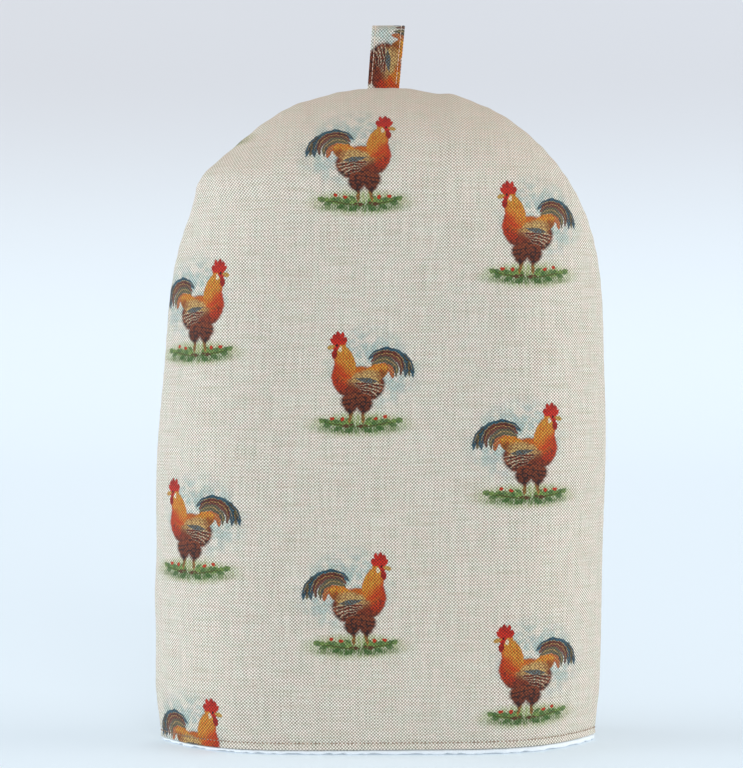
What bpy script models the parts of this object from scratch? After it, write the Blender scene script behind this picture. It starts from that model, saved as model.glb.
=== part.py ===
"""Cafetiere cosy: a domed cover of padded linen, lined in white, standing open on its hem.

Metres, +Z up. The origin is the middle of the hem's footprint, on the surface the cosy
stands on. The front faces -Y, and +X is to the right when the front is looked at.
Every layer is an even offset of one base surface, which is the lens-shaped hollow that
the two halves close round. A last gentle bend of space makes the whole cosy uneven.
"""
import math

import bmesh
import bpy
from mathutils import Vector

# Outside sizes of the cosy
WIDTH = 0.239              # across the padded side edges
HEIGHT = 0.351             # from the lining's lower edge to the top of the dome
MOUTH_DEPTH = 0.092        # front to back at the hem
DOME_HEIGHT = 0.135        # the part of the height in which the sides close in
DOME_POWER = 2.2           # 2 gives an elliptical dome, more gives squarer shoulders
SECTION_POWER = 4.5        # how flat the middle of a panel is before it rounds to the seam
DEPTH_TAPER = 0.22         # share of the depth that is lost towards the top

# Layers, as offsets outwards from the base surface
LINING_INNER = 0.0010
LINING_OUTER = 0.0024
PANEL_INNER = 0.0027
PANEL_OUTER = 0.0075
HEM_OUTER = 0.0050         # the panel's outer offset at the pressed hem
HEM_RISE = 0.0027          # how far the linen hem stops above the lining's edge
HEM_LEAN = 2.6             # share by which that height grows, per metre to the right
HEM_FADE = 0.030           # height in which the padding swells to its full thickness
LIP_TOP = 0.0024           # the lining rolls out below this height, under the linen hem
LIP_SWELL = 0.0018         # how far the rolled lip stands out from the lining
SEAM_GAP = 0.00015         # each half stops this far short of the seam's plane
SEAM_GROOVE = 0.0008       # depth of the groove that the seam pulls in

# Hanging loop
LOOP_WIDTH = 0.0173
LOOP_CLOTH = 0.0016        # thickness of the folded band
LOOP_RISE = 0.0337         # how far the loop stands above the top of the dome
LOOP_SPREAD = 0.0055       # radius of the band's middle line at the fold
LOOP_SLANT = 0.085         # sideways lean of the loop for each metre of its height
LOOP_FLARE = 0.02          # how much wider the loop is at the fold than at the seam
LOOP_SINK = 0.0032         # depth to which the ends are caught in the seam
LOOP_X = 0.0021            # middle of the loop where it leaves the seam
FIT_GAP = 0.0003           # clearance between pieces that are sewn together

# Unevenness of the sewn cosy
DOME_LEAN = 0.0050         # the dome stands this far to the right of the hem's middle
LEAN_HEIGHTS = (0.10, 0.31)

# Swellings of the side edges: side, height, spread up and down, amount outwards
EDGE_SWELLS = (
    (-1, 0.303, 0.012, 0.0056),
    (-1, 0.228, 0.045, -0.0020),
    (-1, 0.145, 0.040, 0.0013),
    (-1, 0.079, 0.016, 0.0011),
    (-1, 0.030, 0.045, 0.0011),
    (1, 0.234, 0.045, -0.0023),
    (1, 0.150, 0.050, 0.0016),
    (1, 0.020, 0.030, -0.0010),
)

# Dips in the top of the arch: place across, spread, amount downwards
ARCH_DIPS = (
    (0.025, 0.009, 0.0012),
    (0.034, 0.007, -0.0012),
    (0.060, 0.014, -0.0006),
    (-0.039, 0.007, 0.0007),
    (-0.050, 0.016, -0.0008),
)

# Soft swells (+) and hollows (-) of the padding: side, across, height, spread, amount
PAD_SWELLS = (
    (-1, -0.055, 0.080, 0.040, 0.0016),
    (-1, 0.048, 0.135, 0.046, -0.0014),
    (-1, -0.036, 0.205, 0.044, -0.0015),
    (-1, 0.040, 0.262, 0.036, 0.0014),
    (-1, 0.062, 0.035, 0.030, 0.0012),
    (1, 0.050, 0.090, 0.042, 0.0016),
    (1, -0.045, 0.160, 0.048, -0.0018),
    (1, 0.020, 0.240, 0.045, 0.0015),
    (1, -0.060, 0.040, 0.030, 0.0012),
)
SWELL_FADE = 0.018         # distance from the seam in which a swell grows to its amount

# Mesh fineness
COLUMNS = 18
SIDE_ROWS = 9
DOME_ROWS = 7
EDGE_STEPS = (0.66, 0.3, 0.0)      # turns of the padded edge, from the panel to the seam
PANEL_HEM_ROWS = (HEM_RISE, 0.010, 0.018, 0.028)
LINING_HEM_ROWS = (0.0, LIP_TOP / 6, LIP_TOP / 2, LIP_TOP * 5 / 6, LIP_TOP, 0.010, 0.018, 0.028)

# Base surface, worked out from the sizes above
BASE_HALF_WIDTH = WIDTH / 2 - PANEL_OUTER
BASE_HALF_DEPTH = MOUTH_DEPTH / 2 - PANEL_OUTER
BASE_DOME_HEIGHT = DOME_HEIGHT - PANEL_OUTER
DOME_START = HEIGHT - DOME_HEIGHT


def smooth(t):
    """Eased step from 0 to 1."""
    t = min(max(t, 0.0), 1.0)
    return t * t * (3 - 2 * t)


def bell(distance, spread):
    """Bell curve, 1 in the middle and close to 0 past twice its spread."""
    return math.exp(-((distance / spread) ** 2))


def reach(x, z):
    """0 on the middle line of the base surface, 1 on its arched edge."""
    rise = max(z - DOME_START, 0) / BASE_DOME_HEIGHT
    across = abs(x) / BASE_HALF_WIDTH
    return (across ** DOME_POWER + rise ** DOME_POWER) ** (1 / DOME_POWER)


def depth(x, z):
    """Distance of the base surface from the seam's plane."""
    taper = 1 - DEPTH_TAPER * (z / HEIGHT) ** 2
    return BASE_HALF_DEPTH * taper * (1 - reach(x, z) ** SECTION_POWER)


def slope(x, z):
    """How the depth changes across and upwards."""
    step = 1e-5
    across = (depth(x + step, z) - depth(x - step, z)) / (2 * step)
    upwards = (depth(x, z + step) - depth(x, z - step)) / (2 * step)
    return across, upwards


def dome_place(s, q):
    """Place on the dome of a grid point s across (-1 to 1) and q up (0 to 1)."""
    across = s * math.sqrt(1 - q * q / 2)
    up = q * math.sqrt(1 - s * s / 2)
    size = (abs(across) ** DOME_POWER + up ** DOME_POWER) ** (1 / DOME_POWER)
    stretch = math.hypot(across, up) / size
    return BASE_HALF_WIDTH * across * stretch, DOME_START + BASE_DOME_HEIGHT * up * stretch


def base_grid(heights):
    """Rows of base points: level up to the dome, then bent over it to the arched edge."""
    spots = [math.sin(math.pi / 2 * (2 * k / COLUMNS - 1)) for k in range(COLUMNS + 1)]
    rows = [[(BASE_HALF_WIDTH * s, z) for s in spots] for z in heights]
    for k in range(1, DOME_ROWS + 1):
        rows.append([dome_place(s, k / DOME_ROWS) for s in spots])
    return rows


def row_heights(hem_rows):
    """Heights of the level rows: the hem's own, then even ones up to the dome."""
    heights = list(hem_rows)
    start = heights[-1]
    for k in range(1, SIDE_ROWS + 1):
        heights.append(start + (DOME_START - start) * k / SIDE_ROWS)
    return heights


def offset_point(x, z, turn, offset, side):
    """Point at an offset from the base surface.

    turn is 1 on the surface itself. On the arched edge it runs down to 0, which turns
    the offset from the surface's normal into the plane of the seam.
    """
    across, upwards = slope(x, z)
    steep = math.hypot(across, upwards)
    lean = math.atan(steep)
    if turn < 1:
        lean = math.pi / 2 - turn * (math.pi / 2 - lean)
    out = offset * math.sin(lean)
    forward = depth(x, z) * (turn == 1) + offset * math.cos(lean)
    if steep > 1e-9:
        x -= out * across / steep
        z -= out * upwards / steep
    return Vector((x, side * (forward + SEAM_GAP), z))


def swell(x, z, side):
    """Sum of the padding's swells and hollows on one side of the cosy."""
    total = 0
    for where, across, height, spread, amount in PAD_SWELLS:
        if where == side:
            total += amount * bell(math.hypot(x - across, z - height), spread)
    return total


def uneven(point):
    """Bends the even cosy into the sewn one: leaning dome, wavy edges, soft padding."""
    x, y, z = point
    side = -1 if y < 0 else 1
    low, high = LEAN_HEIGHTS
    new_x = x + DOME_LEAN * smooth((z - low) / (high - low))
    for edge, height, spread, amount in EDGE_SWELLS:
        share = smooth(edge * x / (WIDTH / 2))
        new_x += edge * amount * share * bell(z - height, spread)
    new_z = z
    for across, spread, amount in ARCH_DIPS:
        new_z -= amount * bell(x - across, spread) * smooth((z - DOME_START) / DOME_HEIGHT)
    new_z += HEM_LEAN * x * min(z, HEM_RISE) * (1 - smooth(z / HEM_FADE))
    new_y = y + side * swell(x, z, side) * smooth(abs(y) / SWELL_FADE)
    return Vector((new_x, new_y, new_z))


def panel_offset(z, turn):
    """Outer offset of a padded panel: thin at the hem, drawn in along the seam."""
    filled = smooth((z - HEM_RISE) / HEM_FADE)
    offset = HEM_OUTER + (PANEL_OUTER - HEM_OUTER) * filled
    return offset - SEAM_GROOVE * (turn == 0)


def lining_offset(z, turn):
    """Outer offset of the lining, which rolls out in a lip at its lower edge."""
    height = min(z / LIP_TOP, 1)
    return LINING_OUTER + LIP_SWELL * math.sqrt(1 - (2 * height - 1) ** 2)


def edge_places(grid):
    """Grid places along the arched edge: up the left, over the top, down the right."""
    rows = len(grid)
    left = [(i, 0) for i in range(rows)]
    top = [(rows - 1, j) for j in range(1, COLUMNS)]
    right = [(i, COLUMNS) for i in reversed(range(rows))]
    return left + top + right


def add_skin(mesh, grid, side, offset_at):
    """Adds one skin of a layer and returns its seam edge and its hem edge."""
    lens = []
    for row in grid:
        points = [offset_point(x, z, 1, offset_at(z, 1), side) for x, z in row]
        lens.append([mesh.verts.new(uneven(p)) for p in points])
    for lower, upper in zip(lens, lens[1:]):
        for j in range(COLUMNS):
            mesh.faces.new((lower[j], lower[j + 1], upper[j + 1], upper[j]))
    bands = []
    for i, j in edge_places(grid):
        x, z = grid[i][j]
        band = [lens[i][j]]
        for turn in EDGE_STEPS:
            point = offset_point(x, z, turn, offset_at(z, turn), side)
            band.append(mesh.verts.new(uneven(point)))
        bands.append(band)
    for here, there in zip(bands, bands[1:]):
        for k in range(len(EDGE_STEPS)):
            mesh.faces.new((here[k], there[k], there[k + 1], here[k + 1]))
    hem = bands[0][:0:-1] + lens[0] + bands[-1][1:]
    return [band[-1] for band in bands], hem


def join_edges(mesh, first, second):
    """Closes the strip between two edges that have the same number of points."""
    for k in range(len(first) - 1):
        mesh.faces.new((first[k], first[k + 1], second[k + 1], second[k]))


def fabric(name, colour):
    """Matt cloth in one colour."""
    material = bpy.data.materials.new(name)
    material.use_nodes = True
    shader = material.node_tree.nodes["Principled BSDF"]
    shader.inputs["Base Color"].default_value = (*colour, 1)
    shader.inputs["Roughness"].default_value = 0.9
    shader.inputs["Metallic"].default_value = 0
    return material


def add_object(name, mesh, material):
    """Turns a closed mesh into an object with its faces pointing out."""
    bmesh.ops.recalc_face_normals(mesh, faces=mesh.faces)
    data = bpy.data.meshes.new(name)
    mesh.to_mesh(data)
    mesh.free()
    data.materials.append(material)
    data.shade_smooth()
    data.set_sharp_from_angle(angle=math.radians(40))
    item = bpy.data.objects.new(name, data)
    bpy.context.scene.collection.objects.link(item)
    return item


def add_layer(name, side, hem_rows, inner, outer_at, material):
    """One closed half of the cosy between an inner offset and an outer one."""
    grid = base_grid(row_heights(hem_rows))
    mesh = bmesh.new()
    outer_seam, outer_hem = add_skin(mesh, grid, side, outer_at)
    inner_seam, inner_hem = add_skin(mesh, grid, side, lambda z, turn: inner)
    join_edges(mesh, outer_seam, inner_seam)
    join_edges(mesh, outer_hem, inner_hem)
    return add_object(name, mesh, material)


def loop_line(steps, foot):
    """Middle line of the loop's band, up one leg, round the fold, down the other."""
    fold = HEIGHT + LOOP_RISE - LOOP_CLOTH / 2 - LOOP_SPREAD
    closed = LOOP_CLOTH / 2 + SEAM_GAP
    leg = []
    for k in range(steps + 1):
        z = foot + (fold - foot) * k / steps
        open_share = smooth((z - HEIGHT) / (fold - HEIGHT))
        leg.append((-closed - (LOOP_SPREAD - closed) * open_share, z))
    turns = [math.pi * k / steps for k in range(1, steps)]
    arc = [(-LOOP_SPREAD * math.cos(t), fold + LOOP_SPREAD * math.sin(t)) for t in turns]
    return leg + arc + [(-y, z) for y, z in reversed(leg)]


def add_loop(material):
    """The hanging loop: a folded band whose hole runs from side to side."""
    foot = HEIGHT - LOOP_SINK
    line = [Vector(p) for p in loop_line(9, foot)]
    mesh = bmesh.new()
    rings = []
    for k, (y, z) in enumerate(line):
        ahead = line[min(k + 1, len(line) - 1)]
        along = (ahead - line[max(k - 1, 0)]).normalized()
        cross = Vector((-along.y, along.x)) * LOOP_CLOTH / 2
        share = (z - foot) / (HEIGHT + LOOP_RISE - foot)
        middle = LOOP_X + LOOP_SLANT * (z - HEIGHT)
        half = LOOP_WIDTH / 2 * (1 + LOOP_FLARE * (2 * share - 1))
        corners = ((-half, cross), (half, cross), (half, -cross), (-half, -cross))
        ring = [mesh.verts.new((middle + x, y + c.x, z + c.y)) for x, c in corners]
        rings.append(ring)
    for here, there in zip(rings, rings[1:]):
        for a in range(4):
            b = (a + 1) % 4
            mesh.faces.new((here[a], here[b], there[b], there[a]))
    mesh.faces.new(rings[0])
    mesh.faces.new(rings[-1][::-1])
    return add_object("hanging_loop", mesh, material)


def cut_loop_slot(panels, material):
    """Opens the seam at its top for the two ends of the loop."""
    half_width = LOOP_WIDTH / 2 + FIT_GAP
    half_depth = LOOP_CLOTH + SEAM_GAP + FIT_GAP
    low = HEIGHT - LOOP_SINK - FIT_GAP
    mesh = bmesh.new()
    bmesh.ops.create_cube(mesh, size=2)
    for vert in mesh.verts:
        x = LOOP_X + vert.co.x * half_width
        z = low + (vert.co.z + 1) * LOOP_RISE / 4
        vert.co = (x, vert.co.y * half_depth, z)
    cutter = add_object("loop_slot_cutter", mesh, material)
    cutter.hide_render = True
    cutter.display_type = "WIRE"
    for panel in panels:
        cut = panel.modifiers.new("loop_slot", "BOOLEAN")
        cut.operation = "DIFFERENCE"
        cut.solver = "EXACT"
        cut.object = cutter


def build_cosy():
    for item in list(bpy.data.objects):
        bpy.data.objects.remove(item)
    panels = []
    for name, side in (("front", -1), ("back", 1)):
        linen = fabric(name + "_panel", (0.56, 0.52, 0.46))
        white = fabric(name + "_lining", (0.86, 0.87, 0.88))
        panel = name + "_panel", side, PANEL_HEM_ROWS, PANEL_INNER, panel_offset, linen
        lining = name + "_lining", side, LINING_HEM_ROWS, LINING_INNER, lining_offset, white
        panels.append(add_layer(*panel))
        add_layer(*lining)
    add_loop(fabric("hanging_loop", (0.36, 0.22, 0.12)))
    cut_loop_slot(panels, fabric("loop_slot_cutter", (0.5, 0.5, 0.5)))


build_cosy()
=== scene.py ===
"""Looks of the cafetiere cosy: printed linen over padding, white lining, hanging loop.

The cosy is built again with a finer surface on the same sizes as its solids. Every layer
is an offset of one base surface, and a last gentle bend makes the whole cosy uneven.
Metres, +Z up, the front faces -Y.
"""
import math

import bpy
import numpy as np
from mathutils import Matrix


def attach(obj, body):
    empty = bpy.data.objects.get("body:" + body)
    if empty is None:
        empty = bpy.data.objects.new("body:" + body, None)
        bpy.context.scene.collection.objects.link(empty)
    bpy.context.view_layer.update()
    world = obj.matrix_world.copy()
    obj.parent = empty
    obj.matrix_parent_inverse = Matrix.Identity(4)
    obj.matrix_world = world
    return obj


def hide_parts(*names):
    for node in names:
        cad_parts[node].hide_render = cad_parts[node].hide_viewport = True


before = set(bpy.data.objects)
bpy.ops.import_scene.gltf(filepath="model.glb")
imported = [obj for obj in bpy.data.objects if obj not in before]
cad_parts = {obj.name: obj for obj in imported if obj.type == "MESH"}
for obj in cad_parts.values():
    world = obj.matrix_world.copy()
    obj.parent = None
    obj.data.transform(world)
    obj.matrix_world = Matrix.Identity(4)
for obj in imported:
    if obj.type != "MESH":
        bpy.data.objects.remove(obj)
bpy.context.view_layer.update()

# Outside sizes, the same as the solids'
WIDTH = 0.239
HEIGHT = 0.351
MOUTH_DEPTH = 0.092
DOME_HEIGHT = 0.135
DOME_POWER = 2.2
SECTION_POWER = 4.5
DEPTH_TAPER = 0.22

# Layers, as offsets outwards from the base surface
LINING_INNER = 0.0010
LINING_OUTER = 0.0024
LIP_TOP = 0.0024
LIP_SWELL = 0.0018
PANEL_INNER = 0.0027
PANEL_OUTER = 0.0075
HEM_OUTER = 0.0050
HEM_RISE = 0.0027
HEM_FADE = 0.030
HEM_LEAN = 2.6             # share by which the hem's rise grows, per metre to the right
SEAM_GAP = 0.00015
SEAM_MEET = 0.00002        # half the hair's breadth left where the sewn halves meet
SEAM_GROOVE = 0.0008

# Hanging loop
LOOP_WIDTH = 0.0173
LOOP_CLOTH = 0.0016
LOOP_RISE = 0.0337
LOOP_SPREAD = 0.0055
LOOP_SLANT = 0.085
LOOP_FLARE = 0.02
LOOP_SINK = 0.0032
LOOP_X = 0.0021            # middle of the loop where it leaves the seam
LOOP_EDGE_ROUND = 0.0008

# Unevenness of the sewn cosy
DOME_LEAN = 0.0050
LEAN_HEIGHTS = (0.10, 0.31)

# Swellings of the side edges: side, height, spread up and down, amount outwards
EDGE_SWELLS = (
    (-1, 0.303, 0.012, 0.0056),
    (-1, 0.228, 0.045, -0.0020),
    (-1, 0.145, 0.040, 0.0013),
    (-1, 0.079, 0.016, 0.0011),
    (-1, 0.030, 0.045, 0.0011),
    (1, 0.234, 0.045, -0.0023),
    (1, 0.150, 0.050, 0.0016),
    (1, 0.020, 0.030, -0.0010),
)

# Dips in the top of the arch: place across, spread, amount downwards
ARCH_DIPS = (
    (0.025, 0.009, 0.0012),
    (0.034, 0.007, -0.0012),
    (0.060, 0.014, -0.0006),
    (-0.039, 0.007, 0.0007),
    (-0.050, 0.016, -0.0008),
)

# Soft swells (+) and hollows (-) of the padding: side, across, height, spread, amount
PAD_SWELLS = (
    (-1, -0.055, 0.080, 0.040, 0.0016),
    (-1, 0.048, 0.135, 0.046, -0.0014),
    (-1, -0.036, 0.205, 0.044, -0.0015),
    (-1, 0.040, 0.262, 0.036, 0.0014),
    (-1, 0.062, 0.035, 0.030, 0.0012),
    (1, 0.050, 0.090, 0.042, 0.0016),
    (1, -0.045, 0.160, 0.048, -0.0018),
    (1, 0.020, 0.240, 0.045, 0.0015),
    (1, -0.060, 0.040, 0.030, 0.0012),
)
SWELL_FADE = 0.018

# Faint creases: side, one end (across, height), other end, half width, depth
CREASES = (
    (-1, (-0.096, 0.246), (-0.052, 0.224), 0.0060, 0.00035),
    (-1, (0.100, 0.236), (0.058, 0.206), 0.0070, 0.00040),
    (-1, (0.020, 0.318), (0.036, 0.276), 0.0055, 0.00030),
    (-1, (-0.104, 0.060), (-0.066, 0.074), 0.0060, 0.00030),
    (-1, (0.104, 0.070), (0.070, 0.052), 0.0055, 0.00030),
    (1, (-0.098, 0.230), (-0.050, 0.200), 0.0065, 0.00045),
    (1, (0.094, 0.250), (0.044, 0.232), 0.0060, 0.00040),
    (1, (0.102, 0.080), (0.050, 0.066), 0.0065, 0.00040),
    (1, (-0.020, 0.320), (-0.030, 0.270), 0.0055, 0.00030),
)

# Sewing
PUCKER_PITCH = 0.0105      # along the arched seam
PUCKER_DEPTH = 0.00020
PUCKER_REACH = 0.0090      # how far a pucker runs into the panel
HEM_STITCH_RISE = 0.0036   # the topstitching's height above the linen's folded edge
HEM_STITCH_DENT = 0.00045
HEM_STITCH_SPREAD = 0.0013 # half width of that dent
HEM_EDGE_ROUND = 0.0006
HEM_RIPPLE = 0.00012
HEM_STITCHES = (0.0021, 0.0011, 0.00036)      # pitch, length of a stitch, thread radius
LOOP_STITCHES = (0.0024, 0.0021, 0.00016)
LOOP_STITCH_INSET = 0.0019 # from the loop's edge
LOOP_STITCH_DENT = 0.00022
LOOP_STITCH_SPREAD = 0.0007
LOOP_STITCH_SINK = 0.00018 # how deep its thread lies in the cloth
LOOP_RIPPLE = 0.00010
LIP_BUMP = 0.0005          # how much the lining's rolled lip swells and shrinks
LIP_LIFT = 0.0007          # how far its outer edge rises between the bumps
LIP_BUMP_PITCH = 0.0105
LINING_RUMPLE = 0.0004

# Cloth and print
THREAD = 0.00084           # width of one thread of the linen
REPEAT = (86.0, 114.0)     # millimetres between two printed cockerels
COLUMN_DROP = 38.0         # each column of the print starts this much lower than the last
MM = 0.001
FRONT_CUT = (10.5, -80.0)  # place in the print, in millimetres, where each piece was cut
BACK_CUT = (43.0, -20.0)
LOOP_CUT = (14.0, -2.0)
PANEL_TURN = 0.6           # degrees that the cloth was turned when it was cut
LOOP_TURN = 90.0

# Mesh fineness
COLUMNS = 112
DOME_ROWS = 60
SIDE_STEP = 0.0024
LINING_COLUMNS = 150
LINING_DOME_ROWS = 34
LINING_STEP = 0.006
HEM_STEPS = 14
EDGE_TURNS = 9
LOOP_STEPS = 44
LOOP_STITCH_STEPS = 80
HEM_LINE_STEPS = 400
HEM_LINE_ENDS = 12         # steps of the hem's line round each end, into the seam
STITCH_SIDES = 6

# Base surface, worked out from the sizes above
BASE_HALF_WIDTH = WIDTH / 2 - PANEL_OUTER
BASE_HALF_DEPTH = MOUTH_DEPTH / 2 - PANEL_OUTER
BASE_DOME_HEIGHT = DOME_HEIGHT - PANEL_OUTER
DOME_START = HEIGHT - DOME_HEIGHT
FRONT, BACK = -1, 1


# ---------------------------------------------------------------- shape of the cosy

def smooth(t):
    """Eased step from 0 to 1."""
    t = np.clip(t, 0.0, 1.0)
    return t * t * (3 - 2 * t)


def bell(distance, spread):
    """Bell curve, 1 in the middle."""
    return np.exp(-((distance / spread) ** 2))


def waver(t, seed):
    """Slow irregular wave between about -1 and 1, the same on every run."""
    return (
        0.5 * np.sin(t * 1.0 + seed)
        + 0.3 * np.sin(t * 2.3 + 1.7 * seed)
        + 0.2 * np.sin(t * 4.1 + 2.9 * seed)
    )


def reach(x, z):
    """0 on the middle line of the base surface, 1 on its arched edge."""
    rise = np.maximum(z - DOME_START, 0) / BASE_DOME_HEIGHT
    across = np.abs(x) / BASE_HALF_WIDTH
    return (across ** DOME_POWER + rise ** DOME_POWER) ** (1 / DOME_POWER)


def depth(x, z):
    """Distance of the base surface from the seam's plane."""
    taper = 1 - DEPTH_TAPER * (z / HEIGHT) ** 2
    return BASE_HALF_DEPTH * taper * (1 - reach(x, z) ** SECTION_POWER)


def slope(x, z):
    """How the depth changes across and upwards."""
    step = 1e-5
    across = (depth(x + step, z) - depth(x - step, z)) / (2 * step)
    upwards = (depth(x, z + step) - depth(x, z - step)) / (2 * step)
    return across, upwards


def offset_surface(x, z, turn, offset, side):
    """Points at an offset from the base surface, turned towards the seam where turn < 1."""
    across, upwards = slope(x, z)
    steep = np.hypot(across, upwards)
    lean = np.arctan(steep)
    lean = np.where(turn < 1, math.pi / 2 - turn * (math.pi / 2 - lean), lean)
    out = offset * np.sin(lean) / np.maximum(steep, 1e-9)
    forward = depth(x, z) * (turn == 1) + offset * np.cos(lean)
    return np.stack(
        (x - out * across, side * (forward + SEAM_MEET), z - out * upwards), axis=-1
    )


def swell(x, z, side):
    """Sum of the padding's swells and hollows on one side of the cosy."""
    total = np.zeros_like(x)
    for where, across, height, spread, amount in PAD_SWELLS:
        if where == side:
            total += amount * bell(np.hypot(x - across, z - height), spread)
    return total


def uneven(points, side):
    """Bends the even cosy into the sewn one: leaning dome, wavy edges, soft padding."""
    x, y, z = points[..., 0], points[..., 1], points[..., 2]
    low, high = LEAN_HEIGHTS
    new_x = x + DOME_LEAN * smooth((z - low) / (high - low))
    for edge, height, spread, amount in EDGE_SWELLS:
        share = smooth(edge * x / (WIDTH / 2))
        new_x = new_x + edge * amount * share * bell(z - height, spread)
    new_z = z
    for across, spread, amount in ARCH_DIPS:
        lift = smooth((z - DOME_START) / DOME_HEIGHT)
        new_z = new_z - amount * bell(x - across, spread) * lift
    lean = HEM_LEAN * x * (1 - smooth(z / HEM_FADE))
    new_z = new_z + lean * np.minimum(z, HEM_RISE)
    new_y = y + side * swell(x, z, side) * smooth(np.abs(y) / SWELL_FADE)
    return np.stack((new_x, new_y, new_z), axis=-1)


def dome_place(s, q):
    """Place on the dome of grid points s across (-1 to 1) and q up (0 to 1)."""
    across = s * np.sqrt(1 - q * q / 2)
    up = q * np.sqrt(1 - s * s / 2)
    size = (np.abs(across) ** DOME_POWER + up ** DOME_POWER) ** (1 / DOME_POWER)
    stretch = np.hypot(across, up) / size
    return BASE_HALF_WIDTH * across * stretch, DOME_START + BASE_DOME_HEIGHT * up * stretch


def base_grid(heights, columns, dome_rows):
    """Base points in rows: level up to the dome, then bent over it to the arched edge."""
    s = np.sin(np.linspace(-math.pi / 2, math.pi / 2, columns + 1))
    level_x, level_z = np.meshgrid(BASE_HALF_WIDTH * s, heights)
    dome = np.meshgrid(s, np.arange(1, dome_rows + 1) / dome_rows)
    dome_x, dome_z = dome_place(*dome)
    return np.vstack((level_x, dome_x)), np.vstack((level_z, dome_z))


def panel_rows():
    """Heights of a panel's level rows: round the folded hem, past its stitching, and up."""
    fold = HEM_RISE + HEM_EDGE_ROUND * (1 - np.cos(np.linspace(0, math.pi / 2, 5)))
    stitched = np.linspace(fold[-1], fold[-1] + 0.0085, HEM_STEPS)[1:]
    count = int((DOME_START - stitched[-1]) / SIDE_STEP) + 1
    return np.concatenate((fold, stitched, np.linspace(stitched[-1], DOME_START, count)[1:]))


def lining_rows():
    """Heights of a lining's level rows: close together round the lip, then even."""
    lip = LIP_TOP / 2 * (1 - np.cos(np.linspace(0, math.pi, 9)))
    count = int((DOME_START - LIP_TOP) / LINING_STEP) + 1
    return np.concatenate((lip, np.linspace(LIP_TOP, DOME_START, count)[1:]))


def edge_places(rows, columns):
    """Grid places along the arched edge: up the left, over the top, down the right."""
    left = [(i, 0) for i in range(rows)]
    top = [(rows - 1, j) for j in range(1, columns)]
    right = [(i, columns) for i in reversed(range(rows))]
    return np.array(left + top + right)


# ---------------------------------------------------------------- where the cloth lies

def cloth_place(x, z):
    """Place in the flat cloth, in metres, of points on the base surface."""
    steps = (np.arange(24) + 0.5) / 24
    u = np.zeros_like(x)
    v = np.zeros_like(x)
    for t in steps:
        u += np.hypot(1, slope(x * t, z)[0]) * x / len(steps)
        v += np.hypot(1, slope(x * 0, z * t)[1]) * z / len(steps)
    return u, v


def crease_depth(x, z, side):
    """Depth of the faint creases at a place on a panel."""
    total = np.zeros_like(x)
    for where, start, end, half_width, amount in CREASES:
        if where != side:
            continue
        run = np.subtract(end, start)
        share = ((x - start[0]) * run[0] + (z - start[1]) * run[1]) / (run @ run)
        held = np.clip(share, 0, 1)
        away = np.hypot(x - start[0] - held * run[0], z - start[1] - held * run[1])
        fade = np.sin(math.pi * np.clip(share * 0.9 + 0.05, 0, 1))
        total += amount * bell(away, half_width) * fade
    return total


def seam_run(x, z):
    """Distance along the arched seam of the nearest point on it."""
    angle = np.arctan2(x / BASE_HALF_WIDTH, np.maximum(z - DOME_START, 0) / BASE_DOME_HEIGHT)
    below = np.sign(x) * np.maximum(DOME_START - z, 0)
    return angle * (BASE_HALF_WIDTH + BASE_DOME_HEIGHT) / 2 + below


def pucker(x, z, turn, side):
    """Ripples that the arched seam draws into the padded edge."""
    run = seam_run(x, z)
    inwards = (1 - reach(x, z)) * BASE_HALF_WIDTH + 0.006 * turn
    phase = 2 * math.pi * run / PUCKER_PITCH + 1.6 * waver(run * 55, 1.0 + side)
    strength = 0.35 + 0.65 * smooth((z - 0.15) / 0.12)
    strength = strength * (0.65 + 0.35 * waver(run * 38, 2.2 * side))
    return PUCKER_DEPTH * np.sin(phase) * strength * bell(inwards, PUCKER_REACH)


def panel_offset(x, z, turn, side):
    """Outer offset of a padded panel, with its hem, groove, puckers and creases."""
    filled = smooth((z - HEM_RISE) / HEM_FADE)
    offset = HEM_OUTER + (PANEL_OUTER - HEM_OUTER) * filled
    offset = offset - SEAM_GROOVE * (1 - smooth(turn / 0.24))
    offset = offset - HEM_STITCH_DENT * bell(z - HEM_RISE - HEM_STITCH_RISE, HEM_STITCH_SPREAD)
    rounding = np.clip((z - HEM_RISE) / HEM_EDGE_ROUND, 0, 1)
    offset = offset - HEM_EDGE_ROUND * (1 - np.sqrt(1 - (1 - rounding) ** 2))
    above_hem = smooth((z - HEM_RISE - 0.004) / 0.02)
    offset = offset + pucker(x, z, turn, side) * above_hem
    offset = offset - crease_depth(x, z, side) * (turn == 1)
    ripple = HEM_RIPPLE * waver(x * 310 + side, 0.4) * (1 - above_hem)
    return offset + ripple


def panel_inside(x, z, turn, side):
    return np.full_like(x, PANEL_INNER)


def lip_bumps(x, side):
    """Soft bumps along the lining's rolled lip, from about -1 to 1."""
    run = np.arcsin(np.clip(x / BASE_HALF_WIDTH, -1, 1)) * BASE_HALF_WIDTH
    turn = math.pi * run / LIP_BUMP_PITCH
    return 0.75 * waver(turn, 0.7 * side) + 0.45 * waver(2.7 * turn, 1.9 + side)


def lining_outside(x, z, turn, side):
    """The lining's outer side, which rolls out under the linen hem in a soft lip."""
    height = np.clip(z / LIP_TOP, 0, 1)
    roll = np.maximum(1 - (2 * height - 1) ** 4, 0) ** 0.4
    return LINING_OUTER + (LIP_SWELL + LIP_BUMP * lip_bumps(x, side)) * roll


def lip_lift(x, z, side):
    """How far the lining's rolled lip curls up off the table between its bumps."""
    rise = LIP_LIFT * smooth(0.35 - lip_bumps(x, side))
    return rise * np.clip(1 - z / LIP_TOP, 0, 1)


def no_lift(x, z, side):
    return np.zeros_like(x)


def lining_inside(x, z, turn, side):
    """The lining's inner side, soft and slightly rumpled."""
    rumple = waver(x * 70 + 9 * side, 0.3) * waver(z * 60 + 3 * side, 1.1)
    return LINING_INNER - LINING_RUMPLE + LINING_RUMPLE * rumple * smooth(z / 0.02) * (turn == 1)


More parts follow.
